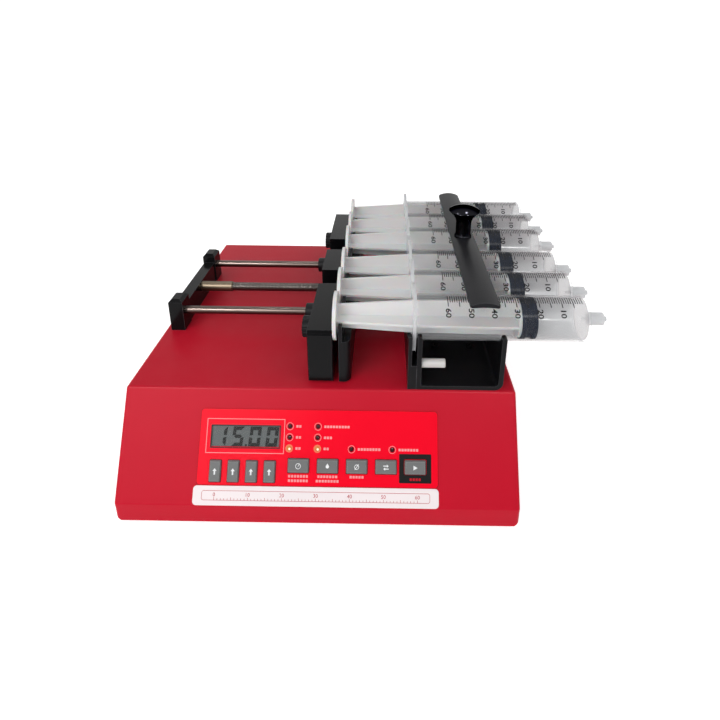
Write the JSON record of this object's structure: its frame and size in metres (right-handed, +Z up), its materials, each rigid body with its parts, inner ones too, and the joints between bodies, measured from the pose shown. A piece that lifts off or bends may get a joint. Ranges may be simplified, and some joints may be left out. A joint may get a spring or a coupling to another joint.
{
  "type": "syringe pump",
  "caption": "Bench syringe pump: sloping keypad case, lead-screw pusher bar on guide rods, open cradle with clamp bar, and a row of loaded plastic syringes.",
  "frame": {"origin": "middle of the overall box, on the plane that the feet stand on", "axes": "+X from the end plate towards the syringes' tips, +Y from the control panel to the back, +Z up"},
  "size_m": [0.3302, 0.2754, 0.174],
  "materials": {
    "case_red": "fine textured crimson paint",
    "black_paint": "black anodised, satin",
    "bright_steel": "ground and polished",
    "dark_steel": "oiled thread",
    "bronze": "sintered bronze",
    "black_plastic": "moulded, matt",
    "black_gloss": "moulded, glossy",
    "barrel_clear": "clear polypropylene",
    "stem_white": "natural polypropylene",
    "stopper_black": "moulded rubber",
    "nylon_white": "natural nylon",
    "overlay_red": "printed film",
    "window_clear": "clear film",
    "display_grey": "reflective liquid crystal",
    "lamp": "tinted lens",
    "board_green": "solder mask",
    "switch_grey": "moulded",
    "key_grey": "moulded",
    "plain_aluminium": "machined",
    "belt_rubber": "moulded",
    "foot_rubber": "moulded"
  },
  "bodies": {
    "frame": {"barrel_1": "barrel_clear", "barrel_2": "barrel_clear", "barrel_3": "barrel_clear", "barrel_4": "barrel_clear", "barrel_5": "barrel_clear", "barrel_6": "barrel_clear", "base_tray": "case_red", "bearing_block": "plain_aluminium", "board_standoffs": "plain_aluminium", "clamp_spring": "bright_steel", "control_board": "board_green", "control_overlay": "overlay_red", "cover": "case_red", "cover_screws": "bright_steel", "cradle": "black_paint", "data_ports": "black_plastic", "display_module": "display_grey", "display_window": "window_clear", "end_plate": "black_paint", "flange_stop_plate": "black_paint", "guide_rods": "bright_steel", "indicator_lamps": "lamp", "io_connector": "plain_aluminium", "key_switches": "switch_grey", "machine_screws": "bright_steel", "motor_body": "black_paint", "motor_bracket": "plain_aluminium", "nylon_stud": "nylon_white", "power_inlet": "black_plastic", "power_switch_body": "black_plastic", "rubber_feet": "foot_rubber", "screw_bearing": "bright_steel", "screw_bush": "bronze", "timing_belt": "belt_rubber"},
    "lead_screw": {"lead_screw": "dark_steel", "screw_pulley": "plain_aluminium"},
    "motor_rotor": {"motor_shaft": "bright_steel", "motor_pulley": "plain_aluminium"},
    "carriage": {"pusher_bar": "black_paint", "drive_nut": "bronze", "guide_bushes": "black_plastic", "plunger_stems": "stem_white", "plunger_stoppers": "stopper_black"},
    "retainer": {"plunger_retainer": "black_paint"},
    "thumb_screw_front": {"thumb_screw_front": "black_plastic"},
    "thumb_screw_rear": {"thumb_screw_rear": "black_plastic"},
    "clamp_post": {"clamp_post": "bright_steel"},
    "clamp_bar": {"clamp_bar": "black_paint", "clamp_knob": "black_gloss"},
    "power_rocker": {"power_rocker": "black_plastic"},
    "key_digit_1": {"key_digit_1": "key_grey"},
    "key_digit_2": {"key_digit_2": "key_grey"},
    "key_digit_3": {"key_digit_3": "key_grey"},
    "key_digit_4": {"key_digit_4": "key_grey"},
    "key_rate": {"key_rate": "key_grey"},
    "key_volume": {"key_volume": "key_grey"},
    "key_diameter": {"key_diameter": "key_grey"},
    "key_direction": {"key_direction": "key_grey"},
    "key_start": {"key_start": "key_grey"}
  },
  "joints": [
    {"name": "carriage_slide", "type": "slide", "parent": "frame", "child": "carriage", "axis": [1, 0, 0], "range_m": [-0.061, 0.0315]},
    {"name": "lead_screw_turn", "type": "hinge", "parent": "frame", "child": "lead_screw", "pos_m": [-0.1599, 0.0163, 0.0949], "axis": [1, 0, 0], "range_deg": [-8930.1, 17292.3]},
    {"name": "motor_turn", "type": "hinge", "parent": "frame", "child": "motor_rotor", "pos_m": [0.0449, 0.0163, 0.0489], "axis": [1, 0, 0], "range_deg": [-16668.7, 32278.2]},
    {"name": "retainer_slide", "type": "slide", "parent": "carriage", "child": "retainer", "axis": [1, 0, 0], "range_m": [-0.001, 0.003]},
    {"name": "thumb_screw_front_turn", "type": "hinge", "parent": "carriage", "child": "thumb_screw_front", "pos_m": [-0.0403, -0.0612, 0.106], "axis": [1, 0, 0], "range_deg": [-1361.6, 454.5]},
    {"name": "thumb_screw_rear_turn", "type": "hinge", "parent": "carriage", "child": "thumb_screw_rear", "pos_m": [-0.0403, 0.0938, 0.106], "axis": [1, 0, 0], "range_deg": [-1361.6, 454.5]},
    {"name": "clamp_lift", "type": "slide", "parent": "frame", "child": "clamp_post", "axis": [0, 0, 1], "range_m": [0, 0.014], "stiffness_N_per_m": 250, "springref_m": -0.03, "deforming": ["clamp_spring"]},
    {"name": "clamp_swing", "type": "hinge", "parent": "clamp_post", "child": "clamp_bar", "pos_m": [0.0784, 0.0163, 0.143], "axis": [0, 0, 1], "range_deg": [-18, 18]},
    {"name": "power_rocker_tilt", "type": "hinge", "parent": "frame", "child": "power_rocker", "pos_m": [-0.1011, 0.1318, 0.028], "axis": [1, 0, 0], "range_deg": [0, 14]},
    {"name": "key_digit_1_press", "type": "slide", "parent": "frame", "child": "key_digit_1", "axis": [0, 0.8563, -0.5165], "range_m": [0, 0.0006], "stiffness_N_per_m": 500, "springref_m": -0.001},
    {"name": "key_digit_2_press", "type": "slide", "parent": "frame", "child": "key_digit_2", "axis": [0, 0.8563, -0.5165], "range_m": [0, 0.0006], "stiffness_N_per_m": 500, "springref_m": -0.001},
    {"name": "key_digit_3_press", "type": "slide", "parent": "frame", "child": "key_digit_3", "axis": [0, 0.8563, -0.5165], "range_m": [0, 0.0006], "stiffness_N_per_m": 500, "springref_m": -0.001},
    {"name": "key_digit_4_press", "type": "slide", "parent": "frame", "child": "key_digit_4", "axis": [0, 0.8563, -0.5165], "range_m": [0, 0.0006], "stiffness_N_per_m": 500, "springref_m": -0.001},
    {"name": "key_rate_press", "type": "slide", "parent": "frame", "child": "key_rate", "axis": [0, 0.8563, -0.5165], "range_m": [0, 0.0006], "stiffness_N_per_m": 500, "springref_m": -0.001},
    {"name": "key_volume_press", "type": "slide", "parent": "frame", "child": "key_volume", "axis": [0, 0.8563, -0.5165], "range_m": [0, 0.0006], "stiffness_N_per_m": 500, "springref_m": -0.001},
    {"name": "key_diameter_press", "type": "slide", "parent": "frame", "child": "key_diameter", "axis": [0, 0.8563, -0.5165], "range_m": [0, 0.0006], "stiffness_N_per_m": 500, "springref_m": -0.001},
    {"name": "key_direction_press", "type": "slide", "parent": "frame", "child": "key_direction", "axis": [0, 0.8563, -0.5165], "range_m": [0, 0.0006], "stiffness_N_per_m": 500, "springref_m": -0.001},
    {"name": "key_start_press", "type": "slide", "parent": "frame", "child": "key_start", "axis": [0, 0.8563, -0.5165], "range_m": [0, 0.0006], "stiffness_N_per_m": 500, "springref_m": -0.001}
  ],
  "couplings": [
    {"joint": "lead_screw_turn", "follows": "carriage_slide", "rad_per_m": -4947.4},
    {"joint": "motor_turn", "follows": "carriage_slide", "rad_per_m": -9235.1},
    {"joint": "thumb_screw_front_turn", "follows": "retainer_slide", "rad_per_m": -7915.8},
    {"joint": "thumb_screw_rear_turn", "follows": "retainer_slide", "rad_per_m": -7915.8}
  ]
}
